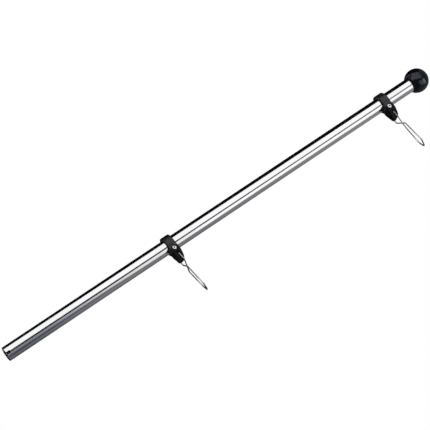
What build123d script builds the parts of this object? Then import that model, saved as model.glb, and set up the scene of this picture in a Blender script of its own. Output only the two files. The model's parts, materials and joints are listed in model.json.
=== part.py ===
import os
from math import sqrt

from build123d import *

# Pole, mm. The centre of the tube's lower end is the origin and the pole runs along +Z.
tube_diameter = 22.225
tube_length = 762.0
tube_wall = 1.2
notch_width = 4.0
notch_depth = 6.0
notch_turn = -75.0

# Ball finial, pressed onto the tube's upper end
ball_diameter = 38.1
socket_depth = 17.0

# Clips: a split band with two ears that taper to a rounded end
clip_running = 0.05
band_wall = 4.0
band_height = 13.0
slit_width = 1.2
ear_front = 12.5
ear_back = 8.6
ear_flat_front = 18.5
ear_flat_back = 18.0
ear_reach = 34.5
ear_tip_front = 5.0
ear_tip_back = 2.4
ear_tip_bevel = 1.5
ear_edge = 0.8
lobe_radius = 3.6
lobe_slope = 1.0
fin_short_of_tip = 3.0
fin_drop = 2.6
fin_bow = 0.7

# Clamp screw and nut
screw_x = 13.5
screw_radius = 2.0
screw_hole_clearance = 0.1
head_diameter = 8.0
head_height = 2.6
head_edge = 0.9
well_diameter = 9.2
recess_across = 2.6
recess_depth = 1.5
nut_across_flats = 7.0
nut_height = 3.2
nut_sink = 1.2
nut_pocket_clearance = 0.15
nut_thread_clearance = 0.05
screw_past_nut = 1.0

# Wire hook: one bent spring wire whose legs cross before the loop
wire_radius = 1.0
wire_bend = 2.2
wire_fit = 0.05
groove_side = 0.2
pin_from_tip = 12.5
pin_end = 5.0
upper_leg_front = 9.0
upper_leg_far_front = 6.0
upper_leg_z = -0.1
upper_leg_rise = 1.5
slot_floor = 4.9
fin_opening = 1.6
lower_leg_z = -4.6
lower_leg_hold = 8.5
lower_leg_out = 5.0
loop_start = 13.0
loop_cross = 17.5
loop_end = 49.5
loop_tip = 58.0
loop_half_start = 3.6
loop_half_end = 4.0

# Where each clip sits below the ball, how it is turned, and how high its hook's two wires hang
clips = {
    "upper": {"below_ball": 53.3, "turn": 0.0, "front": (4.9, 6.4), "back": (3.9, 3.8)},
    "lower": {"below_ball": 460.9, "turn": -10.5, "front": (-1.6, -1.2), "back": (-3.0, -1.9)},
}

tube_radius = tube_diameter / 2
ball_radius = ball_diameter / 2
exposed_length = tube_length - socket_depth
ball_centre = exposed_length + sqrt(ball_radius**2 - tube_radius**2)
band_outer = tube_radius + band_wall
half_band = band_height / 2
seat_front = ear_front - head_height
seat_back = ear_back - nut_sink
pin_x = ear_reach - pin_from_tip
fin_reach = ear_reach - fin_short_of_tip
from_base = (Align.CENTER, Align.CENTER, Align.MIN)

os.makedirs("parts", exist_ok=True)

# Tube: open below, with a locating notch in its rim, and plain above inside the ball
with BuildPart() as pole_tube:
    Cylinder(tube_radius, tube_length, align=from_base)
    Cylinder(tube_radius - tube_wall, tube_length, align=from_base, mode=Mode.SUBTRACT)
    with Locations(Rot(0, 0, notch_turn) * Pos(tube_radius, 0, 0)):
        Box(tube_diameter / 2, notch_width, 2 * notch_depth, mode=Mode.SUBTRACT)
pole_tube.part.label = "pole_tube"
export_step(pole_tube.part, "parts/pole_tube.step")

# Ball: a solid sphere with a flat-bottomed socket
with BuildPart() as ball_finial:
    with Locations((0, 0, ball_centre)):
        Sphere(ball_radius)
    with Locations((0, 0, tube_length - 2 * socket_depth)):
        Cylinder(tube_radius, 2 * socket_depth, align=from_base, mode=Mode.SUBTRACT)
ball_finial.part.label = "ball_finial"
export_step(ball_finial.part, "parts/ball_finial.step")


def upper_leg_point(x):
    """A point on the upper wire leg's centre line, which rises and follows the tapered ear."""
    share = (x - pin_x) / pin_from_tip
    y = -upper_leg_front + share * (upper_leg_front - upper_leg_far_front)
    return (x, y, upper_leg_z + share * upper_leg_rise)


def make_clip():
    """Split band with two ears, the screw's well and nut pocket, and the wire's slot and holes."""
    half_slot = wire_radius + groove_side
    lobe_top = upper_leg_point(ear_reach)[2] - half_slot
    fin_root = upper_leg_point(pin_x)[2] + half_slot
    fin_tip = half_band - fin_drop
    corner = lobe_radius * (1 - sqrt(0.5))
    with BuildPart() as clip:
        # The ears from the side: the fin above the wire's slot and the rounded lobe below it
        with BuildSketch(Plane.XZ):
            with BuildLine():
                Polyline((0, -half_band), (0, half_band), (ear_flat_front, half_band))
                ThreePointArc((ear_flat_front, half_band),
                              ((ear_flat_front + fin_reach) / 2, (half_band + fin_tip) / 2 + fin_bow),
                              (fin_reach, fin_tip))
                Polyline((fin_reach, fin_tip), (ear_reach - lobe_slope, lobe_top),
                         (ear_reach, lobe_radius - half_band))
                ThreePointArc((ear_reach, lobe_radius - half_band),
                              (ear_reach - corner, corner - half_band),
                              (ear_reach - lobe_radius, -half_band))
                Line((ear_reach - lobe_radius, -half_band), (0, -half_band))
            make_face()
        extrude(amount=2 * band_outer, both=True)
        # The same ears from above: thick at the screw and tapered to the end
        with BuildSketch(Plane.XY.offset(-half_band)):
            with BuildLine():
                Polyline((0, -ear_front), (ear_flat_front, -ear_front),
                         (ear_reach - ear_tip_bevel, -ear_tip_front),
                         (ear_reach, ear_tip_bevel - ear_tip_front),
                         (ear_reach, ear_tip_back - ear_tip_bevel),
                         (ear_reach - ear_tip_bevel, ear_tip_back),
                         (ear_flat_back, ear_back), (0, ear_back), (0, -ear_front))
            make_face()
        extrude(amount=band_height, mode=Mode.INTERSECT)
        Cylinder(band_outer, band_height)
        # The band's rims are bevelled, and the ears' long lower edges are rounded
        rims = clip.edges().group_by(Axis.Z)[-1] + clip.edges().group_by(Axis.Z)[0]
        chamfer(rims.filter_by(GeomType.CIRCLE), ear_edge)
        lower_edges = clip.edges().filter_by(GeomType.LINE).filter_by_position(Axis.Z, -half_band, -half_band)
        fillet(lower_edges - lower_edges.filter_by(Axis.Y), ear_edge)
        Cylinder(tube_radius + clip_running, band_height, mode=Mode.SUBTRACT)
        # The clamping slit between the ears
        with Locations(((ear_reach + tube_radius) / 2, 0, 0)):
            Box(ear_reach, slit_width, 2 * band_height, mode=Mode.SUBTRACT)
        # The screw's hole through both ears, and the round well that its head sits in
        with Locations(Plane((screw_x, 0, 0), z_dir=(0, 1, 0))):
            Cylinder(screw_radius + screw_hole_clearance, 4 * ear_front, mode=Mode.SUBTRACT)
        with Locations(Plane((screw_x, -seat_front, 0), z_dir=(0, -1, 0))):
            Cylinder(well_diameter / 2, 2 * head_height, align=from_base, mode=Mode.SUBTRACT)
        # The hexagonal pocket behind, which keeps the nut from turning
        with BuildSketch(Plane.XZ.offset(-seat_back)):
            with Locations((screw_x, 0)):
                RegularPolygon(nut_across_flats / 2 + nut_pocket_clearance, 6, major_radius=False)
        extrude(amount=-2 * nut_height, mode=Mode.SUBTRACT)
        # The open slot for the upper leg, cut from the front to its floor and wider at the fin's tip
        with BuildSketch(Plane.XZ.offset(slot_floor)):
            with BuildLine():
                Polyline((pin_x, fin_root), (2 * ear_reach, fin_root + fin_opening * ear_reach / pin_from_tip),
                         (2 * ear_reach, lobe_top), (ear_reach, lobe_top),
                         (pin_x, fin_root - 2 * half_slot))
                ThreePointArc((pin_x, fin_root - 2 * half_slot), (pin_x - half_slot, fin_root - half_slot),
                              (pin_x, fin_root))
            make_face()
        extrude(amount=2 * ear_front, mode=Mode.SUBTRACT)
        # The holes that hold the two ends of the wire
        with Locations(Plane((pin_x, pin_end, upper_leg_z), z_dir=(0, -1, 0))):
            Cylinder(wire_radius + wire_fit, 2 * pin_end, align=from_base, mode=Mode.SUBTRACT)
        with Locations(Plane((ear_reach - lower_leg_hold, 0, lower_leg_z), z_dir=(1, 0, 0))):
            Cylinder(wire_radius + wire_fit, ear_reach, align=from_base, mode=Mode.SUBTRACT)
    return clip


def make_screw():
    """Pan-head screw that lies along Y, with its head in front."""
    shank_end = seat_back + nut_height + screw_past_nut
    with BuildPart() as screw:
        with Locations(Plane((screw_x, -seat_front, 0), z_dir=(0, -1, 0))):
            Cylinder(head_diameter / 2, head_height, align=from_base)
        chamfer(screw.edges().sort_by(Axis.Y)[0], head_edge / 2, head_edge)
        with Locations(Plane((screw_x, -seat_front, 0), z_dir=(0, 1, 0))):
            Cylinder(screw_radius, seat_front + shank_end, align=from_base)
        with BuildSketch(Plane.XZ.offset(seat_front + head_height)):
            with Locations((screw_x, 0)):
                RegularPolygon(recess_across / 2, 6, major_radius=False)
        extrude(amount=-recess_depth, mode=Mode.SUBTRACT)
    return screw


def make_nut():
    """Hexagon nut, sunk in its pocket behind the ears."""
    with BuildPart() as nut:
        with BuildSketch(Plane.XZ.offset(-seat_back)):
            with Locations((screw_x, 0)):
                RegularPolygon(nut_across_flats / 2, 6, major_radius=False)
                Circle(screw_radius + nut_thread_clearance, mode=Mode.SUBTRACT)
        extrude(amount=-nut_height)
    return nut


def make_hook(front, back):
    """Bent spring wire: a pin in the slot, two legs that cross, a long loop and a held lower leg."""
    with BuildPart() as hook:
        with BuildLine():
            FilletPolyline(
                (pin_x, pin_end, upper_leg_z),
                upper_leg_point(pin_x),
                upper_leg_point(ear_reach),
                (ear_reach + loop_cross, loop_half_start, back[0]),
                (ear_reach + loop_end, loop_half_end, back[1]),
                (ear_reach + loop_tip, loop_half_end / 2, (back[1] + front[1]) / 2),
                (ear_reach + loop_tip, -loop_half_end / 4, (back[1] + front[1]) / 2),
                (ear_reach + loop_end, -loop_half_end, front[1]),
                (ear_reach + loop_start, -loop_half_start, front[0]),
                (ear_reach + lower_leg_out, 0, lower_leg_z),
                (ear_reach - lower_leg_hold, 0, lower_leg_z),
                radius=wire_bend,
            )
        with BuildSketch(Plane((pin_x, pin_end, upper_leg_z), z_dir=(0, -1, 0))):
            Circle(wire_radius)
        sweep()
    return hook


# Each clip is turned and raised to its place on the pole
for name, place in clips.items():
    there = Pos(0, 0, exposed_length - place["below_ball"]) * Rot(0, 0, place["turn"])
    pieces = {
        "clip": make_clip(),
        "clamp_screw": make_screw(),
        "clamp_nut": make_nut(),
        "wire_hook": make_hook(place["front"], place["back"]),
    }
    for piece, built in pieces.items():
        node = name + "_" + piece
        placed = there * built.part
        placed.label = node
        export_step(placed, "parts/" + node + ".step")
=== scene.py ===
import json
from math import cos, pi, radians, sin, sqrt, tan

import bpy
from mathutils import Matrix, Vector

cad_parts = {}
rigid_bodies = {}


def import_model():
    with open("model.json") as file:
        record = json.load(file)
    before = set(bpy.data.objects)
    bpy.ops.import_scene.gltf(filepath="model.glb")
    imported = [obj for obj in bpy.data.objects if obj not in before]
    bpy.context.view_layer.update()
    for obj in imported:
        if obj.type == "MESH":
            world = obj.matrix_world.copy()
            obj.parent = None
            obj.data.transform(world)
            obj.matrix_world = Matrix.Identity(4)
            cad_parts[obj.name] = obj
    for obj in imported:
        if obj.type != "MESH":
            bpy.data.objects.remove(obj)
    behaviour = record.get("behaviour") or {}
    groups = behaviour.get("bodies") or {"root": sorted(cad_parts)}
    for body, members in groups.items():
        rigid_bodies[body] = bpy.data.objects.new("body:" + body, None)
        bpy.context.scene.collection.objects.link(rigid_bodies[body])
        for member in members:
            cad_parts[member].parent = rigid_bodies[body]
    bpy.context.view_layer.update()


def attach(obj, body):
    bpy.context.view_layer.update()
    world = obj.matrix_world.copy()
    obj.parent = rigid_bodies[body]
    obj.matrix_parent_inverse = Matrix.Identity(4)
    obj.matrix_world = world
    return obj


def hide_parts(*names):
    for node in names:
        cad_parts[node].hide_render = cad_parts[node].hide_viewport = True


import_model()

# Sizes in mm. The middle of the tube's lower end is the origin, and the pole runs along +Z
MM = 0.001
TUBE_RADIUS = 22.225 / 2
TUBE_LENGTH = 762.0
TUBE_WALL = 1.2
TUBE_EDGE = 0.18
NOTCH_WIDTH = 4.0
NOTCH_DEPTH = 6.0
NOTCH_CORNER = 0.6
NOTCH_TURN = -75.0
BALL_RADIUS = 38.1 / 2
SOCKET_DEPTH = 17.0
SOCKET_MOUTH = TUBE_LENGTH - SOCKET_DEPTH
BALL_MIDDLE = 760.473
BALL_LIP = 0.3

# Clip: a split band, and two ears that taper to a rounded end. The band joins them at angles in degrees
BAND_WALL = 4.0
BAND_RADIUS = TUBE_RADIUS + BAND_WALL
HALF_BAND = 6.5
BORE_PLAY = 0.05
SLIT = 1.2
BAND_JOIN_FRONT = 55.82
BAND_JOIN_BACK = 34.69
EAR_FRONT = 12.5
EAR_BACK = 8.6
EAR_FLAT_FRONT = 18.5
EAR_FLAT_BACK = 18.0
EAR_REACH = 34.5
EAR_TIP_FRONT = 5.0
EAR_TIP_BACK = 2.4
EAR_TIP_BEVEL = 1.5
LOBE_RADIUS = 3.6
RIM_ROUND = 0.8
CLIP_EDGE = 0.35
# How far the tools that cut a clip reach past it
PAST = 40.0

# Clamp screw and nut, which lie along Y
SCREW_X = 13.5
SCREW_RADIUS = 2.0
SCREW_PLAY = 0.1
HEAD_RADIUS = 4.0
HEAD_HEIGHT = 2.6
HEAD_SEAT = EAR_FRONT - HEAD_HEIGHT
WELL_RADIUS = 4.6
RECESS_ACROSS = 2.6
RECESS_DEPTH = 1.5
NUT_ACROSS = 7.0
NUT_HEIGHT = 3.2
NUT_SINK = 1.2
NUT_SEAT = EAR_BACK - NUT_SINK
POCKET_PLAY = 0.15
SCREW_END = NUT_SEAT + NUT_HEIGHT + 1.0
THREAD_PITCH = 0.7
THREAD_TURNS = 20
SCREW_EDGE = 0.08
NUT_EDGE = 0.1

# Wire hook: a pin across the slot, two legs, and a loop whose lengths run along X from the ears' end
WIRE_RADIUS = 1.0
WIRE_EDGE = 0.3
WIRE_BEND = 2.2
WIRE_PLAY = 0.05
SLOT_SIDE = 0.2
SLOT_FLOOR = 4.9
PIN_X = EAR_REACH - 12.5
PIN_END = 5.0
# The upper leg's places in Y and Z, beside the pin and at the ears' end
UPPER_LEG = ((-9.0, -0.1), (-6.0, 1.4))
LOWER_LEG_Z = -4.6
LOWER_LEG_HOLD = 8.5
LOWER_LEG_OUT = 5.0
LOOP_START = 13.0
LOOP_CROSS = 17.5
LOOP_END = 49.5
LOOP_TIP = 58.0
LOOP_HALF_START = 3.6
LOOP_HALF_END = 4.0

# Where each clip sits, how it is turned, and how high its loop's front and back wires hang
CLIPS = {
    "upper": {"height": SOCKET_MOUTH - 53.3, "turn": 0.0, "front": (4.9, 6.4), "back": (3.9, 3.8)},
    "lower": {"height": SOCKET_MOUTH - 460.9, "turn": -10.5, "front": (-1.6, -1.2), "back": (-3.0, -1.9)},
}


def at(x, y, z):
    """A point given in mm."""
    return Vector((x, y, z)) * MM


def rest():
    """Leaves edit mode and deselects everything."""
    if bpy.context.object and bpy.context.object.mode != "OBJECT":
        bpy.ops.object.mode_set(mode="OBJECT")
    bpy.ops.object.select_all(action="DESELECT")


def work_on(piece):
    """Makes the piece the only one that the next operators act on."""
    rest()
    piece.select_set(True)
    bpy.context.view_layer.objects.active = piece


def settled(name):
    """The object just made, with its name, and its place moved into its mesh."""
    piece = bpy.context.object
    piece.name = piece.data.name = name
    bpy.ops.object.transform_apply(location=True, rotation=True, scale=True)
    return piece


def pick(piece, kind, wanted):
    """Goes into edit mode with only the wanted points, edges or faces selected."""
    work_on(piece)
    bpy.ops.object.mode_set(mode="EDIT")
    bpy.ops.mesh.select_mode(type=kind)
    bpy.ops.mesh.select_all(action="DESELECT")
    bpy.ops.object.mode_set(mode="OBJECT")
    parts = {"VERT": piece.data.vertices, "EDGE": piece.data.edges, "FACE": piece.data.polygons}
    for part in parts[kind]:
        part.select = wanted(part)
    bpy.ops.object.mode_set(mode="EDIT")


def on_all(piece, *steps):
    """Runs mesh operators, given with their settings, each on everything in the piece."""
    work_on(piece)
    bpy.ops.object.mode_set(mode="EDIT")
    for operator, settings in steps:
        bpy.ops.mesh.select_all(action="SELECT")
        operator(**settings)
    bpy.ops.object.mode_set(mode="OBJECT")


def closed_up(piece):
    """Merges doubled points and turns every face outwards."""
    on_all(piece, (bpy.ops.mesh.remove_doubles, {"threshold": 0.002 * MM}),
           (bpy.ops.mesh.normals_make_consistent, {"inside": False}))


def draw_line(name, points):
    """A line of points in mm, drawn one point after another."""
    rest()
    bpy.ops.mesh.primitive_plane_add(size=MM, location=at(*points[0]))
    line = settled(name)
    bpy.ops.object.mode_set(mode="EDIT")
    bpy.ops.mesh.select_mode(type="VERT")
    bpy.ops.mesh.select_all(action="SELECT")
    bpy.ops.mesh.merge(type="CENTER")
    for before, after in zip(points, points[1:]):
        step = at(*after) - at(*before)
        bpy.ops.mesh.extrude_region_move(TRANSFORM_OT_translate={"value": step})
    bpy.ops.object.mode_set(mode="OBJECT")
    return line


def raise_outline(name, points, step):
    """A flat outline of points in mm, filled and extruded by a step in mm."""
    solid = draw_line(name, points)
    on_all(solid, (bpy.ops.mesh.edge_face_add, {}),
           (bpy.ops.mesh.extrude_region_move, {"TRANSFORM_OT_translate": {"value": at(*step)}}))
    closed_up(solid)
    return solid


def turn_on_screw(name, profile):
    """A piece turned about the screw's axis, from (radius, distance along +Y) points in mm."""
    turned = draw_line(name, [(SCREW_X + radius, along, 0) for radius, along in profile])
    turn = {"steps": 64, "angle": 2 * pi, "center": at(SCREW_X, 0, 0), "axis": (0, 1, 0)}
    on_all(turned, (bpy.ops.mesh.spin, turn))
    closed_up(turned)
    return turned


def rod(name, radius, start, end, sides=64, twist=0):
    """A bar with that many sides between two points in mm on a line along X, Y or Z, turned on its axis."""
    rest()
    way = Vector(end) - Vector(start)
    twist = radians(twist)
    facing = {"x": (twist, pi / 2, 0), "y": (-pi / 2, twist, 0), "z": (0, 0, twist)}
    along = max("xyz", key=lambda axis: abs(getattr(way, axis)))
    bpy.ops.mesh.primitive_cylinder_add(
        vertices=sides, radius=radius * MM, depth=way.length * MM, end_fill_type="NGON",
        location=at(*((Vector(start) + Vector(end)) / 2)), rotation=facing[along])
    return settled(name)


def hexagon_on_screw(name, across, start, end):
    """A hexagonal bar round the screw's axis, by its width across flats and its ends along Y in mm."""
    return rod(name, across / 2 / cos(pi / 6), (SCREW_X, start, 0), (SCREW_X, end, 0), sides=6, twist=30)


def block(name, low, high):
    """A box between two corners in mm."""
    rest()
    low, high = Vector(low), Vector(high)
    bpy.ops.mesh.primitive_cube_add(size=1, location=at(*((low + high) / 2)))
    bpy.context.object.scale = (high - low) * MM
    return settled(name)


def cut(piece, tool, how="DIFFERENCE"):
    """Cuts the piece with a tool, or keeps what both share, and throws the tool away."""
    work_on(piece)
    modifier = piece.modifiers.new("cut", "BOOLEAN")
    modifier.operation = how
    modifier.solver = "EXACT"
    modifier.object = tool
    bpy.ops.object.modifier_apply(modifier=modifier.name)
    bpy.data.objects.remove(tool)


def soften(piece, width, segments=2, sharper_than=35):
    """Rounds every edge that is sharper than an angle, and shades the piece."""
    work_on(piece)
    modifier = piece.modifiers.new("round", "BEVEL")
    modifier.width = width * MM
    modifier.segments = segments
    modifier.limit_method = "ANGLE"
    modifier.angle_limit = radians(sharper_than)
    bpy.ops.object.modifier_apply(modifier=modifier.name)
    smooth(piece)


def smooth(piece, angle=32):
    """Shades the piece smooth, with its real corners kept crisp and its flat faces kept flat."""
    work_on(piece)
    bpy.ops.object.shade_smooth_by_angle(angle=radians(angle))
    modifier = piece.modifiers.new("flats", "WEIGHTED_NORMAL")
    modifier.keep_sharp = True
    bpy.ops.object.modifier_apply(modifier=modifier.name)


def arc(middle, radius, start, end, steps):
    """Points in mm on an arc in XY between two angles in degrees."""
    turns = [radians(start + (end - start) * step / steps) for step in range(steps + 1)]
    return [(middle[0] + radius * cos(turn), middle[1] + radius * sin(turn), middle[2]) for turn in turns]


def side_arc(middle, radius, start, end, steps):
    """The (x, z) points in mm of an arc seen from the side."""
    return [(x, z) for x, z, _ in arc((*middle, 0), radius, start, end, steps)]


def make_pole_tube():
    """Drawn tube with its wall, its broken edges and the notch in its lower rim."""
    tube = rod("pole_tube_drawn", TUBE_RADIUS, (0, 0, 0), (0, 0, TUBE_LENGTH), sides=128)
    pick(tube, "FACE", lambda face: abs(face.normal.z) > 0.9)
    bpy.ops.mesh.inset(thickness=TUBE_WALL * MM, depth=0)
    bpy.ops.mesh.bridge_edge_loops()
    bpy.ops.object.mode_set(mode="OBJECT")
    # The notch's tool has bevelled upper corners, and is turned to its place
    half = NOTCH_WIDTH / 2
    notch = block("notch", (TUBE_RADIUS / 2, -half, -NOTCH_DEPTH), (1.5 * TUBE_RADIUS, half, NOTCH_DEPTH))
    pick(notch, "FACE", lambda face: face.normal.z > 0.9)
    bpy.ops.mesh.inset(thickness=NOTCH_CORNER * MM, depth=0)
    bpy.ops.object.mode_set(mode="OBJECT")
    pick(notch, "VERT", lambda point: point.co.z > 0 and abs(abs(point.co.y) - half * MM) < 0.001 * MM)
    bpy.ops.transform.translate(value=at(0, 0, -NOTCH_CORNER))
    work_on(notch)
    notch.rotation_euler.z = radians(NOTCH_TURN)
    bpy.ops.object.transform_apply(location=True, rotation=True, scale=True)
    cut(tube, notch)
    closed_up(tube)
    # Loops along the tube keep its long faces evenly shaded
    on_all(tube, *[(bpy.ops.mesh.bisect, {"plane_co": at(0, 0, height), "plane_no": (0, 0, 1)})
                   for height in (1, NOTCH_DEPTH + 1, 20, 250, 500, SOCKET_MOUTH)])
    soften(tube, TUBE_EDGE)
    return tube


def make_ball():
    """Turned ball with a small lip where the tube enters, and the socket inside."""
    rest()
    bpy.ops.mesh.primitive_uv_sphere_add(segments=128, ring_count=96, radius=BALL_RADIUS * MM,
                                         location=at(0, 0, BALL_MIDDLE))
    ball = settled("ball_finial_turned")
    height = SOCKET_MOUTH + BALL_LIP
    radius = sqrt(BALL_RADIUS**2 - (BALL_MIDDLE - height) ** 2)
    bpy.ops.object.mode_set(mode="EDIT")
    bpy.ops.mesh.select_mode(type="EDGE")
    bpy.ops.mesh.select_all(action="SELECT")
    bpy.ops.mesh.bisect(plane_co=at(0, 0, height), plane_no=(0, 0, 1), clear_inner=True)
    # The lip rolls in to the tube, and the socket runs up inside: room round the tube, and height
    rings = [(0.1875, SOCKET_MOUTH + 0.12), (0.0275, SOCKET_MOUTH + 0.2), (0.0175, TUBE_LENGTH)]
    for room, next_height in rings:
        next_radius = TUBE_RADIUS + room
        closer = next_radius / radius
        bpy.ops.mesh.extrude_region_move(TRANSFORM_OT_translate={"value": at(0, 0, next_height - height)})
        bpy.ops.transform.resize(value=(closer, closer, 1), center_override=at(0, 0, next_height))
        radius, height = next_radius, next_height
    bpy.ops.mesh.edge_face_add()
    bpy.ops.object.mode_set(mode="OBJECT")
    closed_up(ball)
    smooth(ball)
    return ball


def clip_from_above():
    """The outline of the band and of its ears, which taper to a bevelled end, in (x, y) points."""
    bevel_from, bevel_to = EAR_REACH - EAR_TIP_BEVEL, EAR_REACH + EAR_TIP_BEVEL
    ears = [(EAR_FLAT_FRONT, -EAR_FRONT), (bevel_from, -EAR_TIP_FRONT),
            (bevel_to, 2 * EAR_TIP_BEVEL - EAR_TIP_FRONT), (bevel_to, EAR_TIP_BACK - 2 * EAR_TIP_BEVEL),
            (bevel_from, EAR_TIP_BACK), (EAR_FLAT_BACK, EAR_BACK)]
    band = arc((0, 0, 0), BAND_RADIUS, BAND_JOIN_BACK, 360 - BAND_JOIN_FRONT, 84)
    return ears + [(x, y) for x, y, _ in band]


def clip_from_the_side():
    """The outline of the fin above the wire's slot, with its bowed top, and of the rounded lobe below it."""
    bow = [(EAR_FLAT_FRONT, HALF_BAND), (22.5, 6.15), (26.5, 5.55), (29.5, 4.8), (31.5, 3.9)]
    lobe = side_arc((EAR_REACH - LOBE_RADIUS, LOBE_RADIUS - HALF_BAND), LOBE_RADIUS, 0, -90, 9)
    return [(-PAST, HALF_BAND), *bow, (33.5, 0.2), *lobe, (-PAST, -HALF_BAND)]


def slot_from_the_side():
    """The outline of the wire's slot, from its round root to its open end, wider at the fin's tip."""
    half = WIRE_RADIUS + SLOT_SIDE
    lower_lip = UPPER_LEG[1][1] - half
    root = side_arc((PIN_X, UPPER_LEG[0][1]), half, 260, 90, 17)
    return [*root, (PAST, 3.41), (PAST, lower_lip), (EAR_REACH, lower_lip)]


def make_clip():
    """Moulded clip: a split band, two tapered ears, and the wells, slot and holes of its hardware."""
    plan = [(x, y, -2 * HALF_BAND) for x, y in clip_from_above()]
    clip = raise_outline("clip_moulded", plan, (0, 0, 4 * HALF_BAND))
    side = [(x, -PAST, z) for x, z in clip_from_the_side()]
    cut(clip, raise_outline("outline", side, (0, 2 * PAST, 0)), "INTERSECT")
    closed_up(clip)

    def rim_or_lower_edge(edge):
        """The band's upper rim, and the long edges below as far as the lobe."""
        ends = [clip.data.vertices[point].co / MM for point in edge.vertices]
        on_top = all(end.z > HALF_BAND - 0.1 and end.xy.length < BAND_RADIUS + 0.1 for end in ends)
        below = all(end.z < 0.1 - HALF_BAND for end in ends)
        return on_top or below and min(end.x for end in ends) < EAR_REACH - LOBE_RADIUS - 0.4

    pick(clip, "EDGE", rim_or_lower_edge)
    bpy.ops.mesh.bevel(offset=RIM_ROUND * MM, segments=3, affect="EDGES")
    bpy.ops.object.mode_set(mode="OBJECT")
    cut(clip, rod("bore", TUBE_RADIUS + BORE_PLAY, (0, 0, -10), (0, 0, 10), sides=96))
    cut(clip, block("slit", (6, -SLIT / 2, -10), (PAST, SLIT / 2, 10)))
    cut(clip, rod("hole", SCREW_RADIUS + SCREW_PLAY, (SCREW_X, -20, 0), (SCREW_X, 20, 0), sides=48))
    cut(clip, rod("well", WELL_RADIUS, (SCREW_X, -20, 0), (SCREW_X, -HEAD_SEAT, 0)))
    cut(clip, hexagon_on_screw("pocket", NUT_ACROSS + 2 * POCKET_PLAY, NUT_SEAT, 20))
    # The wire's slot is open to the front and to the end, and its two ends have holes of their own
    slot = [(x, -PAST, z) for x, z in slot_from_the_side()]
    cut(clip, raise_outline("slot", slot, (0, PAST - SLOT_FLOOR, 0)))
    hole, pin_z = WIRE_RADIUS + WIRE_PLAY, UPPER_LEG[0][1]
    leg_end = EAR_REACH - LOWER_LEG_HOLD
    cut(clip, rod("pin_hole", hole, (PIN_X, -6, pin_z), (PIN_X, PIN_END, pin_z), sides=32))
    cut(clip, rod("leg_hole", hole, (leg_end, 0, LOWER_LEG_Z), (PAST, 0, LOWER_LEG_Z), sides=32))
    closed_up(clip)
    soften(clip, CLIP_EDGE)
    return clip


def make_thread():
    """The screw's thread: a closed ridge wound round the core."""
    ridge = draw_line("thread", [(1.55, -3.6, 0), (1.98, -3.35, 0), (1.98, -3.25, 0), (1.55, -3.0, 0)])
    on_all(ridge, (bpy.ops.mesh.edge_face_add, {}), (bpy.ops.mesh.delete, {"type": "ONLY_FACE"}))
    winding = ridge.modifiers.new("winding", "SCREW")
    winding.axis = "Y"
    winding.screw_offset = THREAD_PITCH * MM
    winding.iterations = THREAD_TURNS
    winding.steps = winding.render_steps = 24
    bpy.ops.object.modifier_apply(modifier=winding.name)
    ridge.location = at(SCREW_X, 0, 0)
    bpy.ops.object.transform_apply(location=True, rotation=True, scale=True)
    on_all(ridge, (bpy.ops.mesh.fill_holes, {"sides": 6}),
           (bpy.ops.mesh.normals_make_consistent, {"inside": False}))
    smooth(ridge, 40)
    return ridge


def make_clamp_screw():
    """Pan-head machine screw with a hexagonal recess and a cut thread."""
    pan = [(0, -EAR_FRONT), (2.0, -EAR_FRONT), (2.7, -12.42), (3.3, -12.15), (3.75, -11.6), (3.95, -11.0),
           (HEAD_RADIUS, -10.4), (HEAD_RADIUS, -10.0), (3.9, -HEAD_SEAT), (SCREW_RADIUS, -HEAD_SEAT)]
    shank = [(1.95, -9.5), (1.95, -4.0), (1.62, -3.5), (1.62, SCREW_END - 0.5), (1.2, SCREW_END),
             (0, SCREW_END)]
    screw = turn_on_screw("clamp_screw_turned", pan + shank)
    recess_floor = RECESS_DEPTH - EAR_FRONT
    cut(screw, hexagon_on_screw("recess", RECESS_ACROSS, -20, recess_floor))
    soften(screw, SCREW_EDGE, segments=1, sharper_than=50)
    ridge = make_thread()
    work_on(screw)
    ridge.select_set(True)
    bpy.ops.object.join()
    # The recess is marked on the screw's own map, where its steel is darkened as painted shade
    marks = screw.data.uv_layers.new(name="recess")
    for face in screw.data.polygons:
        middle = face.center / MM - Vector((SCREW_X, 0, 0))
        inside = middle.y < recess_floor + 0.1 and Vector((middle.x, middle.z)).length < 0.52 * RECESS_ACROSS
        for corner in face.loop_indices:
            marks.data[corner].uv = (1.0 if inside else 0.0, 0.0)
    return screw


def make_clamp_nut():
    """Hexagon nut with its corners turned off, and a countersunk hole."""
    end = NUT_SEAT + NUT_HEIGHT
    nut = hexagon_on_screw("clamp_nut_cut", NUT_ACROSS, NUT_SEAT, end)
    corners = [(0, NUT_SEAT - 0.01), (3.35, NUT_SEAT - 0.01), (4.15, NUT_SEAT + 0.45), (4.15, end - 0.45),
               (3.35, end + 0.01), (0, end + 0.01)]
    sink = [(0, NUT_SEAT - 1), (2.35, NUT_SEAT - 1), (2.35, NUT_SEAT), (2.02, NUT_SEAT + 0.35),
            (2.02, end - 0.35), (2.35, end), (2.35, end + 1), (0, end + 1)]
    cut(nut, turn_on_screw("corners", corners), "INTERSECT")
    cut(nut, turn_on_screw("sink", sink))
    closed_up(nut)
    soften(nut, NUT_EDGE, sharper_than=25)
    return nut


def rounded(points, radius, steps):
    """The line through the points in mm, with each corner turned into an arc."""
    points = [Vector(point) for point in points]
    line = [points[0]]
    for before, corner, after in zip(points, points[1:], points[2:]):
        come, go = (before - corner).normalized(), (after - corner).normalized()
        half = come.angle(go) / 2
        start, end = corner + come * radius / tan(half), corner + go * radius / tan(half)
        middle = corner + (come + go).normalized() * radius / sin(half)
        first, last = start - middle, end - middle
        sweep = first.angle(last)
        for step in range(steps + 1):
            share = step / steps
            line.append(middle + (first * sin((1 - share) * sweep) + last * sin(share * sweep)) / sin(sweep))
    line.append(points[-1])
    return line


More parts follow.
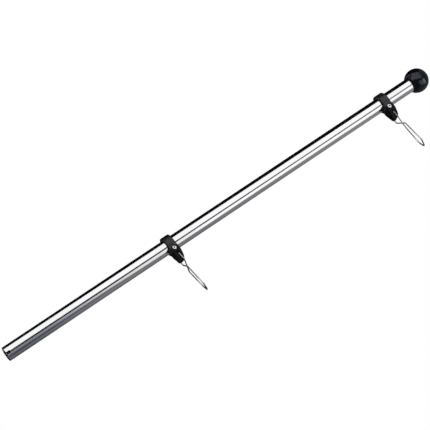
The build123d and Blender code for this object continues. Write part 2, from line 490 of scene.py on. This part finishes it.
def make_wire_hook(name, front, back):
    """Bent spring wire: a pin in the slot, two legs that cross, a long loop and a held lower leg."""
    (leg_y, leg_z), (far_y, far_z) = UPPER_LEG
    tip_z = (back[1] + front[1]) / 2
    corners = [(PIN_X, PIN_END, leg_z), (PIN_X, leg_y, leg_z), (EAR_REACH, far_y, far_z),
               (EAR_REACH + LOOP_CROSS, LOOP_HALF_START, back[0]),
               (EAR_REACH + LOOP_END, LOOP_HALF_END, back[1]),
               (EAR_REACH + LOOP_TIP, LOOP_HALF_END / 2, tip_z),
               (EAR_REACH + LOOP_TIP, -LOOP_HALF_END / 4, tip_z),
               (EAR_REACH + LOOP_END, -LOOP_HALF_END, front[1]),
               (EAR_REACH + LOOP_START, -LOOP_HALF_START, front[0]),
               (EAR_REACH + LOWER_LEG_OUT, 0, LOWER_LEG_Z), (EAR_REACH - LOWER_LEG_HOLD, 0, LOWER_LEG_Z)]
    wire = draw_line(name + "_wire_hook_bent", rounded(corners, WIRE_BEND, 8))
    work_on(wire)
    bpy.ops.object.convert(target="CURVE")
    wire = bpy.context.object
    wire.data.bevel_depth = WIRE_RADIUS * MM
    wire.data.bevel_resolution = 9
    wire.data.use_fill_caps = True
    bpy.ops.object.convert(target="MESH")
    wire = bpy.context.object
    closed_up(wire)
    soften(wire, WIRE_EDGE, sharper_than=60)
    return wire


def handed_over(piece, body, node, look):
    """The piece rides on its body, stands for its CAD node and takes its material."""
    piece.data.materials.clear()
    piece.data.materials.append(LOOKS[look])
    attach(piece, body)
    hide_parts(node)


def new_group(name, inputs, outputs):
    """An empty shader node group with its named sockets."""
    group = bpy.data.node_groups.new(name, "ShaderNodeTree")
    for label, kind, value in inputs:
        socket = group.interface.new_socket(name=label, in_out="INPUT", socket_type=kind)
        if value is not None:
            socket.default_value = value
    for label, kind in outputs:
        group.interface.new_socket(name=label, in_out="OUTPUT", socket_type=kind)
    return group, group.nodes.new("NodeGroupInput"), group.nodes.new("NodeGroupOutput")


def add(tree, kind, **settings):
    """A node, with its properties and the values of its inputs by name."""
    node = tree.nodes.new(kind)
    values = settings.pop("values", {})
    for key, value in settings.items():
        setattr(node, key, value)
    for key, value in values.items():
        node.inputs[key].default_value = value
    return node


def placed_group(tree, group, where, values):
    """The pattern that a node group puts out in a material, at its coordinates and with its own values."""
    node = add(tree, "ShaderNodeGroup", node_tree=group, values=values)
    tree.links.new(where, node.inputs["Vector"])
    return node.outputs[0]


def make_drawn_lines():
    """Fine lines that run along a drawn tube or wire."""
    group, given, result = new_group(
        "drawn_lines",
        [("Vector", "NodeSocketVector", None), ("Scale", "NodeSocketVector", (3000, 3000, 6))],
        [("Lines", "NodeSocketFloat")])
    stretch = add(group, "ShaderNodeVectorMath", operation="MULTIPLY")
    noise = add(group, "ShaderNodeTexNoise", values={"Scale": 1.0, "Detail": 4.0, "Roughness": 0.65})
    spread = add(group, "ShaderNodeMapRange", values={"From Min": 0.3, "From Max": 0.7})
    link = group.links.new
    link(given.outputs["Vector"], stretch.inputs[0])
    link(given.outputs["Scale"], stretch.inputs[1])
    link(stretch.outputs[0], noise.inputs["Vector"])
    link(noise.outputs["Fac"], spread.inputs["Value"])
    link(spread.outputs["Result"], result.inputs["Lines"])
    return group


def make_fine_scratches():
    """Thin crossing scratches, as handling leaves them. Scratches is 1 in a scratch."""
    group, given, result = new_group(
        "fine_scratches",
        [("Vector", "NodeSocketVector", None), ("Scale", "NodeSocketFloat", 400.0),
         ("Width", "NodeSocketFloat", 0.02)],
        [("Scratches", "NodeSocketFloat")])
    link = group.links.new
    layers = []
    for turn, stretch in (((0.3, 0.5, 0.2), (1, 0.12, 0.3)), ((1.1, -0.4, 0.9), (0.15, 1, 0.4))):
        turned = add(group, "ShaderNodeMapping", values={"Rotation": turn, "Scale": stretch})
        cells = add(group, "ShaderNodeTexVoronoi", feature="DISTANCE_TO_EDGE")
        thin = add(group, "ShaderNodeMath", operation="LESS_THAN")
        link(given.outputs["Vector"], turned.inputs["Vector"])
        link(turned.outputs["Vector"], cells.inputs["Vector"])
        link(given.outputs["Scale"], cells.inputs["Scale"])
        link(cells.outputs["Distance"], thin.inputs[0])
        link(given.outputs["Width"], thin.inputs[1])
        layers.append(thin)
    patches = add(group, "ShaderNodeTexNoise", values={"Scale": 60.0, "Detail": 2.0})
    kept = add(group, "ShaderNodeMapRange", values={"From Min": 0.5, "From Max": 0.62})
    both = add(group, "ShaderNodeMath", operation="MAXIMUM")
    shown = add(group, "ShaderNodeMath", operation="MULTIPLY")
    link(given.outputs["Vector"], patches.inputs["Vector"])
    link(patches.outputs["Fac"], kept.inputs["Value"])
    link(layers[0].outputs[0], both.inputs[0])
    link(layers[1].outputs[0], both.inputs[1])
    link(both.outputs[0], shown.inputs[0])
    link(kept.outputs["Result"], shown.inputs[1])
    link(shown.outputs[0], result.inputs["Scratches"])
    return group


def make_handling():
    """Soft clouds where hands have dulled a surface."""
    group, given, result = new_group(
        "handling",
        [("Vector", "NodeSocketVector", None), ("Scale", "NodeSocketFloat", 40.0)],
        [("Clouds", "NodeSocketFloat")])
    noise = add(group, "ShaderNodeTexNoise", values={"Detail": 3.0, "Roughness": 0.55, "Distortion": 0.6})
    spread = add(group, "ShaderNodeMapRange", interpolation_type="SMOOTHSTEP",
                 values={"From Min": 0.35, "From Max": 0.68})
    link = group.links.new
    link(given.outputs["Vector"], noise.inputs["Vector"])
    link(given.outputs["Scale"], noise.inputs["Scale"])
    link(noise.outputs["Fac"], spread.inputs["Value"])
    link(spread.outputs["Result"], result.inputs["Clouds"])
    return group


def make_mould_grain():
    """The fine spark-eroded grain that a mould leaves on plastic, or plating on steel."""
    group, given, result = new_group(
        "mould_grain",
        [("Vector", "NodeSocketVector", None), ("Scale", "NodeSocketFloat", 4000.0)],
        [("Grain", "NodeSocketFloat")])
    noise = add(group, "ShaderNodeTexNoise", values={"Detail": 2.0, "Roughness": 0.6})
    cells = add(group, "ShaderNodeTexVoronoi", feature="SMOOTH_F1", values={"Smoothness": 0.6})
    mixed = add(group, "ShaderNodeMath", operation="MULTIPLY_ADD", values={1: 0.6})
    link = group.links.new
    for texture in (noise, cells):
        link(given.outputs["Vector"], texture.inputs["Vector"])
        link(given.outputs["Scale"], texture.inputs["Scale"])
    link(noise.outputs["Fac"], mixed.inputs[0])
    link(cells.outputs["Distance"], mixed.inputs[2])
    link(mixed.outputs[0], result.inputs["Grain"])
    return group


def new_material(name, **values):
    """A material with its shader's plain values set, and its tree, shader and object coordinates."""
    made = bpy.data.materials.new(name)
    made.use_nodes = True
    shader = made.node_tree.nodes["Principled BSDF"]
    for key, value in values.items():
        shader.inputs[key.replace("_", " ").title().replace("Ior", "IOR")].default_value = value
    where = made.node_tree.nodes.new("ShaderNodeTexCoord")
    return made, made.node_tree, shader, where.outputs["Object"]


def ranged(tree, source, low, high):
    """The source, which runs from 0 to 1, turned into a value between low and high."""
    span = add(tree, "ShaderNodeMapRange", values={"To Min": low, "To Max": high})
    tree.links.new(source, span.inputs["Value"])
    return span.outputs["Result"]


def tinted(tree, source, first, second):
    """A colour between two, by the source."""
    mix = add(tree, "ShaderNodeMix", data_type="RGBA")
    mix.inputs[6].default_value = (*first, 1)
    mix.inputs[7].default_value = (*second, 1)
    tree.links.new(source, mix.inputs["Factor"])
    return mix.outputs[2]


def darkened(tree, colour, mask, dark):
    """The colour, with a dark one over it where the mask says."""
    mix = add(tree, "ShaderNodeMix", data_type="RGBA")
    mix.inputs[7].default_value = (*dark, 1)
    tree.links.new(mask, mix.inputs["Factor"])
    tree.links.new(colour, mix.inputs[6])
    return mix.outputs[2]


def by_reach(tree, where, near, far, start, end):
    """A value that goes softly from start to end between two distances in m from the pole's axis."""
    level = add(tree, "ShaderNodeVectorMath", operation="MULTIPLY", values={1: (1, 1, 0)})
    away = add(tree, "ShaderNodeVectorMath", operation="LENGTH")
    soft = add(tree, "ShaderNodeMapRange", interpolation_type="SMOOTHSTEP",
               values={"From Min": near, "From Max": far, "To Min": start, "To Max": end})
    tree.links.new(where, level.inputs[0])
    tree.links.new(level.outputs[0], away.inputs[0])
    tree.links.new(away.outputs["Value"], soft.inputs["Value"])
    return soft.outputs["Result"]


def summed(tree, first, second, how="ADD"):
    """Two values joined by a math node."""
    node = add(tree, "ShaderNodeMath", operation=how)
    for socket, value in zip(node.inputs, (first, second)):
        if isinstance(value, (int, float)):
            socket.default_value = value
        else:
            tree.links.new(value, socket)
    return node.outputs[0]


def mixed_shaders(tree, share, first, second, out):
    """The output shows the first shader, and the second one by its share."""
    mix = add(tree, "ShaderNodeMixShader")
    tree.links.new(share, mix.inputs[0])
    tree.links.new(first.outputs[0], mix.inputs[1])
    tree.links.new(second.outputs[0], mix.inputs[2])
    tree.links.new(mix.outputs[0], out.inputs["Surface"])


def bumped(tree, shader, height, depth):
    """Raises the surface by a height pattern whose full depth is in mm."""
    bump = add(tree, "ShaderNodeBump", values={"Strength": 1.0, "Distance": depth * MM})
    tree.links.new(height, bump.inputs["Height"])
    tree.links.new(bump.outputs["Normal"], shader.inputs["Normal"])


# Where the tube is rubbed, beside each clip and at the end that stands in a socket: middle and reach in m
RUBBED_BANDS = ((0.699, 0.030), (0.2915, 0.034), (0.03, 0.075))


def pole_aluminium(groups):
    """Polished drawn aluminium: lines along the tube, light scratches, and rubbed bands."""
    made, tree, shader, where = new_material("pole_aluminium", metallic=1.0)
    link = tree.links.new
    lines = placed_group(tree, groups["lines"], where, {"Scale": (2600, 2600, 5)})
    clouds = placed_group(tree, groups["handling"], where, {"Scale": 18.0})
    marks = placed_group(tree, groups["scratches"], where, {"Scale": 330.0, "Width": 0.006})
    rings = placed_group(tree, groups["lines"], where, {"Scale": (40, 40, 5200)})
    split = add(tree, "ShaderNodeSeparateXYZ")
    link(where, split.inputs[0])
    rubbed = None
    for middle, reach in RUBBED_BANDS:
        near = add(tree, "ShaderNodeMath", operation="COMPARE", values={1: middle, 2: reach})
        link(split.outputs["Z"], near.inputs[0])
        rubbed = near.outputs[0] if rubbed is None else summed(tree, rubbed, near.outputs[0], "MAXIMUM")
    ringed = summed(tree, rings, rubbed, "MULTIPLY")
    link(tinted(tree, summed(tree, ringed, marks, "MAXIMUM"),
                (0.955, 0.955, 0.962), (0.90, 0.90, 0.91)), shader.inputs["Base Color"])
    rough = summed(tree, ranged(tree, lines, 0.06, 0.09),
                   ranged(tree, clouds, 0.0, 0.03))
    rough = summed(tree, rough, ranged(tree, ringed, 0.0, 0.06))
    rough = summed(tree, rough, ranged(tree, marks, 0.0, 0.05))
    link(rough, shader.inputs["Roughness"])
    height = summed(tree, lines, summed(tree, ringed, 0.25, "MULTIPLY"))
    height = summed(tree, height, summed(tree, marks, -0.25, "MULTIPLY"))
    bumped(tree, shader, height, 0.0006)
    return made


def ball_plastic(groups):
    """Gloss black plastic, buffed, with a faint parting line round its middle."""
    made, tree, shader, where = new_material("ball_plastic", specular_ior_level=0.62,
                                             specular_tint=(0.78, 0.88, 1.0, 1.0))
    link = tree.links.new
    clouds = placed_group(tree, groups["handling"], where, {"Scale": 70.0})
    marks = placed_group(tree, groups["scratches"], where, {"Scale": 420.0, "Width": 0.01})
    grain = placed_group(tree, groups["grain"], where, {"Scale": 1500.0})
    link(tinted(tree, clouds, (0.0012, 0.0013, 0.0018), (0.004, 0.0045, 0.007)),
         shader.inputs["Base Color"])
    rough = summed(tree, ranged(tree, clouds, 0.10, 0.17),
                   ranged(tree, marks, 0.0, 0.12))
    link(rough, shader.inputs["Roughness"])
    split = add(tree, "ShaderNodeSeparateXYZ")
    link(where, split.inputs[0])
    away = summed(tree, split.outputs["Z"], BALL_MIDDLE * MM, "SUBTRACT")
    away = summed(tree, away, 0, "ABSOLUTE")
    seam = add(tree, "ShaderNodeMapRange", interpolation_type="SMOOTHSTEP",
               values={"From Min": 0.00005, "From Max": 0.00022, "To Min": 1.0, "To Max": 0.0})
    link(away, seam.inputs["Value"])
    height = summed(tree, seam.outputs["Result"], summed(tree, grain, 0.12, "MULTIPLY"))
    height = summed(tree, height, summed(tree, marks, -0.3, "MULTIPLY"))
    bumped(tree, shader, height, 0.012)
    return made


def clip_plastic(groups):
    """Satin black moulding with a fine grain, scuffed a little paler by handling."""
    made, tree, shader, where = new_material("clip_plastic", specular_ior_level=0.12,
                                             coat_roughness=0.36, coat_ior=1.62,
                                             coat_tint=(0.97, 0.98, 1.0, 1.0))
    link = tree.links.new
    clouds = placed_group(tree, groups["handling"], where, {"Scale": 160.0})
    marks = placed_group(tree, groups["scratches"], where, {"Scale": 520.0, "Width": 0.02})
    grain = placed_group(tree, groups["grain"], where, {"Scale": 3600.0})
    worn = summed(tree, clouds, marks, "MAXIMUM")
    link(tinted(tree, worn, (0.003, 0.003, 0.004), (0.008, 0.008, 0.010)), shader.inputs["Base Color"])
    # Hands have polished the band, and the ears keep the mould's dull skin
    polished = by_reach(tree, where, 0.0158, 0.0182, 1.0, 0.0)
    link(summed(tree, polished, ranged(tree, clouds, 1.0, 0.7), "MULTIPLY"),
         shader.inputs["Coat Weight"])
    rough = summed(tree, ranged(tree, clouds, 0.36, 0.46),
                   ranged(tree, grain, -0.03, 0.05))
    link(rough, shader.inputs["Roughness"])
    height = summed(tree, grain, summed(tree, marks, -0.8, "MULTIPLY"))
    bumped(tree, shader, height, 0.012)
    return made


def bright_steel(name, groups, colours, rough, grain_scale, depth, shaded_recess=False):
    """Plated steel: a fine grain, clouds in its gloss, small scratches, and painted shade in a marked recess.
    """
    made, tree, shader, where = new_material(name, metallic=1.0)
    link = tree.links.new
    clouds = placed_group(tree, groups["handling"], where, {"Scale": 220.0})
    marks = placed_group(tree, groups["scratches"], where, {"Scale": 700.0, "Width": 0.015})
    grain = placed_group(tree, groups["grain"], where, {"Scale": grain_scale})
    colour = tinted(tree, clouds, *colours)
    if shaded_recess:
        recess_shade_map = add(tree, "ShaderNodeUVMap", uv_map="recess")
        split = add(tree, "ShaderNodeSeparateXYZ")
        link(recess_shade_map.outputs[0], split.inputs[0])
        # Painted shade: the steel is darkened to near black in the marked recess
        colour = darkened(tree, colour, split.outputs["X"], (0.03, 0.03, 0.034))
    link(colour, shader.inputs["Base Color"])
    roughness = summed(tree, ranged(tree, clouds, *rough),
                       ranged(tree, marks, 0.0, 0.1))
    link(roughness, shader.inputs["Roughness"])
    height = summed(tree, grain, summed(tree, marks, -0.8, "MULTIPLY"))
    bumped(tree, shader, height, depth)
    return made


def wire_steel(groups):
    """Bright spring wire with the fine lines of its drawing die along it, and a painted dark reflection at
    the loop's tip.
    """
    made, tree, shader, where = new_material("wire_steel", metallic=1.0)
    link = tree.links.new
    along = add(tree, "ShaderNodeUVMap").outputs[0]
    lines = placed_group(tree, groups["lines"], along, {"Scale": (14, 24, 1)})
    clouds = placed_group(tree, groups["handling"], where, {"Scale": 120.0})
    marks = placed_group(tree, groups["scratches"], where, {"Scale": 500.0, "Width": 0.015})
    bright = tinted(tree, clouds, (0.82, 0.82, 0.83), (0.74, 0.735, 0.73))
    # Painted dark reflection: the wire turns near black where it reaches far from the pole, at the loop's tip
    link(darkened(tree, bright, by_reach(tree, where, 0.079, 0.087, 0.0, 0.9), (0.02, 0.02, 0.022)),
         shader.inputs["Base Color"])
    rough = summed(tree, ranged(tree, lines, 0.06, 0.11),
                   ranged(tree, clouds, 0.0, 0.04))
    link(rough, shader.inputs["Roughness"])
    height = summed(tree, lines, summed(tree, marks, -0.5, "MULTIPLY"))
    bumped(tree, shader, height, 0.001)
    return made


GROUPS = {"lines": make_drawn_lines(), "scratches": make_fine_scratches(), "handling": make_handling(),
          "grain": make_mould_grain()}
LOOKS = {
    "pole_aluminium": pole_aluminium(GROUPS),
    "ball_plastic": ball_plastic(GROUPS),
    "clip_plastic": clip_plastic(GROUPS),
    "screw_steel": bright_steel("screw_steel", GROUPS, ((0.86, 0.86, 0.87), (0.78, 0.78, 0.78)),
                                (0.1, 0.17), 2500.0, 0.002, shaded_recess=True),
    "nut_steel": bright_steel("nut_steel", GROUPS, ((0.66, 0.67, 0.69), (0.60, 0.58, 0.52)),
                              (0.26, 0.38), 3000.0, 0.006),
    "wire_steel": wire_steel(GROUPS),
}

# Dress the pole. Both clips take copies of the same pieces, and each has a wire hook of its own
handed_over(make_pole_tube(), "pole", "pole_tube", "pole_aluminium")
handed_over(make_ball(), "pole", "ball_finial", "ball_plastic")
PATTERNS = {"clip": (make_clip(), "clip_plastic"), "clamp_screw": (make_clamp_screw(), "screw_steel"),
            "clamp_nut": (make_clamp_nut(), "nut_steel")}
for name, place in CLIPS.items():
    copies = {"wire_hook": (make_wire_hook(name, place["front"], place["back"]), "wire_steel")}
    for part, (pattern, look) in PATTERNS.items():
        work_on(pattern)
        bpy.ops.object.duplicate()
        copies[part] = (bpy.context.object, look)
        bpy.context.object.name = bpy.context.object.data.name = name + "_" + part + "_made"
    for part, (piece, look) in copies.items():
        work_on(piece)
        piece.rotation_euler.z = radians(place["turn"])
        piece.location.z = place["height"] * MM
        bpy.ops.object.transform_apply(location=True, rotation=True, scale=True)
        handed_over(piece, name + "_clip", name + "_" + part, look)
for pattern, look in PATTERNS.values():
    bpy.data.objects.remove(pattern)

# Studio: camera, floor, lamps, cards and the white world. Lengths in m
CAMERA_PLACE = Vector((0.647943, -1.994159, -0.29695))
CAMERA_FORWARD = Vector((-0.294556, 0.906621, 0.302117))
CAMERA_RIGHT = Vector((0.605455, -0.067548, 0.793008))
SENSOR = 36.0
LENS = 125.42
AMBIENT = 0.75
FLOOR_RADIUS = 2.6
FLOOR_DROP = 0.0003
FLOOR_FADE_START = 0.5
FLOOR_FADE_END = 2.4
LAMP_TARGET = Vector((0, 0, 0.45))
CARD_RADIUS = 1.8
BLACK_CARD_RADIUS = 4.0
RING_INNER = 0.0117
STRIP_HEIGHT = 0.0006
STRIP_OUTER = 4.0


def make_camera():
    """The photo's camera: low, nearer to the pole's foot, and rolled so that the pole leans to the right."""
    data = bpy.data.cameras.new("camera")
    camera = bpy.data.objects.new("camera", data)
    bpy.context.scene.collection.objects.link(camera)
    forward = CAMERA_FORWARD.normalized()
    right = (CAMERA_RIGHT - forward * CAMERA_RIGHT.dot(forward)).normalized()
    turn = Matrix((right, right.cross(forward), -forward)).transposed().to_4x4()
    camera.matrix_world = Matrix.Translation(CAMERA_PLACE) @ turn
    data.sensor_width = SENSOR
    data.lens = LENS
    data.clip_end = 100
    bpy.context.scene.camera = camera


def make_world():
    """White to the camera and in reflections, and a softer light on the object."""
    world = bpy.data.worlds.new("white_studio")
    bpy.context.scene.world = world
    world.use_nodes = True
    tree = world.node_tree
    tree.nodes.clear()
    path = add(tree, "ShaderNodeLightPath")
    shown = summed(tree, path.outputs["Is Camera Ray"], path.outputs["Is Glossy Ray"], "MAXIMUM")
    shown = summed(tree, shown, path.outputs["Is Transmission Ray"], "MAXIMUM")
    lamp = add(tree, "ShaderNodeBackground", values={"Color": (1, 1, 1, 1), "Strength": AMBIENT})
    white = add(tree, "ShaderNodeBackground", values={"Color": (1, 1, 1, 1), "Strength": 1.0})
    mixed_shaders(tree, shown, lamp, white, add(tree, "ShaderNodeOutputWorld"))


def make_floor():
    """Pale floor that keeps the shadow, fades to white far out, and doesn't hide the object from below."""
    rest()
    bpy.ops.mesh.primitive_circle_add(vertices=96, radius=FLOOR_RADIUS, fill_type="NGON",
                                      location=(0, 0, -FLOOR_DROP))
    floor = settled("floor")
    made, tree, shader, where = new_material("pale_floor", roughness=0.7, specular_ior_level=0.1)
    link = tree.links.new
    clouds = placed_group(tree, GROUPS["handling"], where, {"Scale": 3.0})
    link(tinted(tree, clouds, (0.84, 0.84, 0.84), (0.86, 0.86, 0.86)), shader.inputs["Base Color"])
    length = add(tree, "ShaderNodeVectorMath", operation="LENGTH")
    link(where, length.inputs[0])
    fade = add(tree, "ShaderNodeMapRange", interpolation_type="SMOOTHSTEP",
               values={"From Min": FLOOR_FADE_START, "From Max": FLOOR_FADE_END})
    link(length.outputs["Value"], fade.inputs["Value"])
    path = add(tree, "ShaderNodeLightPath")
    side = add(tree, "ShaderNodeNewGeometry")
    below = summed(tree, path.outputs["Is Camera Ray"], side.outputs["Backfacing"], "MULTIPLY")
    clear = add(tree, "ShaderNodeBsdfTransparent")
    hidden = summed(tree, below, fade.outputs["Result"], "MAXIMUM")
    mixed_shaders(tree, hidden, shader, clear, tree.nodes["Material Output"])
    floor.data.materials.append(made)


def reflected_only(card, shades, from_above=False):
    """The card glows in shades that follow its height. Only glossy rays see it, or only those from above."""
    low, high = shades[0][0], shades[-1][0]
    made = bpy.data.materials.new(card.name)
    made.use_nodes = True
    tree = made.node_tree
    tree.nodes.clear()
    where = add(tree, "ShaderNodeTexCoord")
    split = add(tree, "ShaderNodeSeparateXYZ")
    rise = add(tree, "ShaderNodeMapRange", values={"From Min": low, "From Max": high})
    steps = add(tree, "ShaderNodeValToRGB")
    glow = add(tree, "ShaderNodeEmission")
    out = add(tree, "ShaderNodeOutputMaterial")
    while len(steps.color_ramp.elements) < len(shades):
        steps.color_ramp.elements.new(0.5)
    for element, (height, shade) in zip(steps.color_ramp.elements, shades):
        element.position = (height - low) / (high - low)
        element.color = (*shade, 1)
    tree.links.new(where.outputs["Object"], split.inputs[0])
    tree.links.new(split.outputs["Z"], rise.inputs["Value"])
    tree.links.new(rise.outputs["Result"], steps.inputs["Fac"])
    tree.links.new(steps.outputs["Color"], glow.inputs["Color"])
    tree.links.new(glow.outputs[0], out.inputs["Surface"])
    if from_above:
        side = add(tree, "ShaderNodeNewGeometry")
        clear = add(tree, "ShaderNodeBsdfTransparent")
        mixed_shaders(tree, side.outputs["Backfacing"], glow, clear, out)
    card.data.materials.append(made)
    for way in ("camera", "diffuse", "shadow", "transmission", "volume_scatter"):
        setattr(card, "visible_" + way, False)


def filled_between(lines):
    """One card filled between drawn lines, which are joined to the first of them."""
    work_on(lines[0])
    for line in lines[1:]:
        line.select_set(True)
    bpy.ops.object.join()
    card = bpy.context.object
    on_all(card, (bpy.ops.mesh.bridge_edge_loops, {}))
    return card


def make_card(name, rows, radius=CARD_RADIUS):
    """An upright curved card for reflections: rows of height in m, start and end in degrees, and shade."""
    lines = [draw_line(name, arc((0, 0, height / MM), radius / MM, start, end, 24))
             for height, start, end, shade in rows]
    reflected_only(filled_between(lines), [(height, shade) for height, start, end, shade in rows])


def make_flat_card(name, height, inner, outer, start, end, shade, from_above=False):
    """A level card for reflections, part of a ring round the pole. Lengths in m, angles in degrees."""
    steps = max(2, int(abs(end - start) / 8))
    inside = draw_line(name, arc((0, 0, height / MM), inner / MM, start, end, steps))
    outside = draw_line(name, arc((0, 0, height / MM), outer / MM, start, end, steps))
    card = filled_between([outside, inside])
    if card.data.polygons[0].normal.z < 0:
        on_all(card, (bpy.ops.mesh.flip_normals, {}))
    reflected_only(card, [(height, shade), (height + 1, shade)], from_above)
    return card


def make_softbox(name, azimuth, elevation, distance, width, height, brightness):
    """A soft lamp facing the middle of the pole. Angles in degrees from +X and above the horizon."""
    data = bpy.data.lights.new(name, "AREA")
    data.shape = "RECTANGLE"
    data.size, data.size_y = width, height
    data.energy = brightness * pi * width * height
    lamp = bpy.data.objects.new(name, data)
    bpy.context.scene.collection.objects.link(lamp)
    turn, rise = radians(azimuth), radians(elevation)
    away = Vector((cos(turn) * cos(rise), sin(turn) * cos(rise), sin(rise)))
    lamp.location = LAMP_TARGET + away * distance
    lamp.rotation_euler = away.to_track_quat("Z", "Y").to_euler()
    lamp.visible_camera = False
    lamp.visible_glossy = False


bpy.context.scene.view_settings.view_transform = "Standard"
make_camera()
make_world()
make_floor()
BLACK = (0.003, 0.003, 0.0035)
make_card("black_card", [(0.55, 80, 202, BLACK), (0.65, 80, 203, BLACK), (1.03, 80, 209, BLACK),
                         (1.59, 80, 213.5, BLACK), (1.87, 80, 218, BLACK), (2.11, 80, 220, BLACK),
                         (2.44, 80, 223, BLACK), (6.0, 80, 223, BLACK)], BLACK_CARD_RADIUS)
make_card("low_black_card", [(-0.2, 98, 199, BLACK), (0.55, 98, 202, BLACK)], BLACK_CARD_RADIUS)
make_card("low_thin_card", [(0.0, -73, -52, BLACK), (0.17, -73, -52, BLACK)])
make_card("thin_card", [(0.17, -88, -64, (0.005, 0.005, 0.01)), (0.31, -88, -64, (0.008, 0.008, 0.014)),
                        (0.55, -81, -59, (0.008, 0.008, 0.01)), (0.69, -77.5, -56.5, (0.01, 0.01, 0.012)),
                        (0.91, -74, -54.5, (0.04, 0.04, 0.045)), (1.09, -71.5, -52.5, (0.07, 0.07, 0.075)),
                        (1.24, -70.5, -52, (0.12, 0.12, 0.125)), (1.8, -70.5, -52, (0.16, 0.16, 0.165)),
                        (3.0, -70.5, -52, (0.16, 0.16, 0.165))])
make_card("blue_card", [(0.0, -64, -33, (0.19, 0.20, 0.24)), (0.31, -64, -33, (0.19, 0.20, 0.24)),
                        (0.42, -61, -33, (0.25, 0.26, 0.29)), (0.5, -60, -33, (0.42, 0.42, 0.47)),
                        (0.56, -59, -31, (0.58, 0.58, 0.6)), (0.69, -56.5, -15, (0.78, 0.78, 0.79)),
                        (0.9, -55, -12, (1.0, 1.0, 1.0))])
make_card("grey_card_left", [(0.0, -33, 0, (0.045, 0.05, 0.065)), (0.31, -33, 0, (0.05, 0.055, 0.072)),
                             (0.42, -33, 0, (0.085, 0.09, 0.105)), (0.56, -31, 0, (0.13, 0.13, 0.14)),
                             (0.69, -15, 0, (0.15, 0.15, 0.155)), (0.91, -12, 0, (0.155, 0.15, 0.165)),
                             (1.1, -12, 0, (0.19, 0.185, 0.195)), (1.4, -8, 0, (0.235, 0.235, 0.24)),
                             (3.0, -8, 0, (0.235, 0.235, 0.24))])
make_card("grey_card_middle", [(0.0, 0, 32, (0.12, 0.125, 0.14)), (0.31, 0, 32, (0.125, 0.13, 0.145)),
                               (0.56, 0, 32, (0.18, 0.185, 0.2)), (0.91, 0, 32, (0.205, 0.2, 0.215)),
                               (1.4, 0, 32, (0.23, 0.23, 0.235)), (3.0, 0, 32, (0.23, 0.23, 0.235))])
make_card("grey_card_right", [(0.0, 32, 80, (0.07, 0.072, 0.08)), (0.31, 32, 80, (0.075, 0.077, 0.085)),
                              (0.56, 32, 80, (0.14, 0.14, 0.145)), (0.91, 32, 80, (0.14, 0.14, 0.15)),
                              (1.4, 32, 80, (0.22, 0.22, 0.23)), (3.0, 32, 80, (0.22, 0.22, 0.23))])
make_card("lintel_card", [(1.95, -138, -70, (0.4, 0.42, 0.46)), (3.0, -138, -70, (0.3, 0.32, 0.36))])
make_card("sky_card", [(1.75, -52, -2, (1.7, 1.95, 2.2)), (3.0, -52, -2, (2.0, 2.2, 2.4))])
make_flat_card("ceiling_card", 3.0, 0.01, 1.8, -180, 180, (0.15, 0.16, 0.18))
# A dark ring under the ball and under each clip, which travels with it. The rings are seen only in
# reflections from above, and paint shade into the undersides. For each node: the ring's height and outer edge
# in m, where it starts in degrees, and its shade
for node, height, outer, start, shade in [("ball_finial", 0.7045, 0.14, -93, 0.06),
                                          ("upper_clip", 0.6835, 0.07, -160, 0.035),
                                          ("lower_clip", 0.2759, 0.07, -160, 0.035)]:
    colour = (shade, shade, shade * 1.05)
    ring = make_flat_card(node + "_ring_card", height, RING_INNER, outer, start, 200, colour, from_above=True)
    ring.parent = bpy.data.objects[node].parent
# Grey strips on the floor give the tube its stripes from every side: start and end in degrees, and shade
STRIPS = [(-162, -142, 0.06), (-62, -30, 0.16), (5, 50, 0.1), (96, 128, 0.04)]
for number, (start, end, shade) in enumerate(STRIPS):
    colour = (shade, shade, shade * 1.05)
    make_flat_card("strip_card_" + str(number), STRIP_HEIGHT, RING_INNER, STRIP_OUTER, start, end, colour)
make_softbox("window_softbox", -125, 14, 2.2, 1.3, 0.9, 5.0)
make_softbox("side_softbox", -31, 34, 2.2, 0.5, 0.5, 6.0)
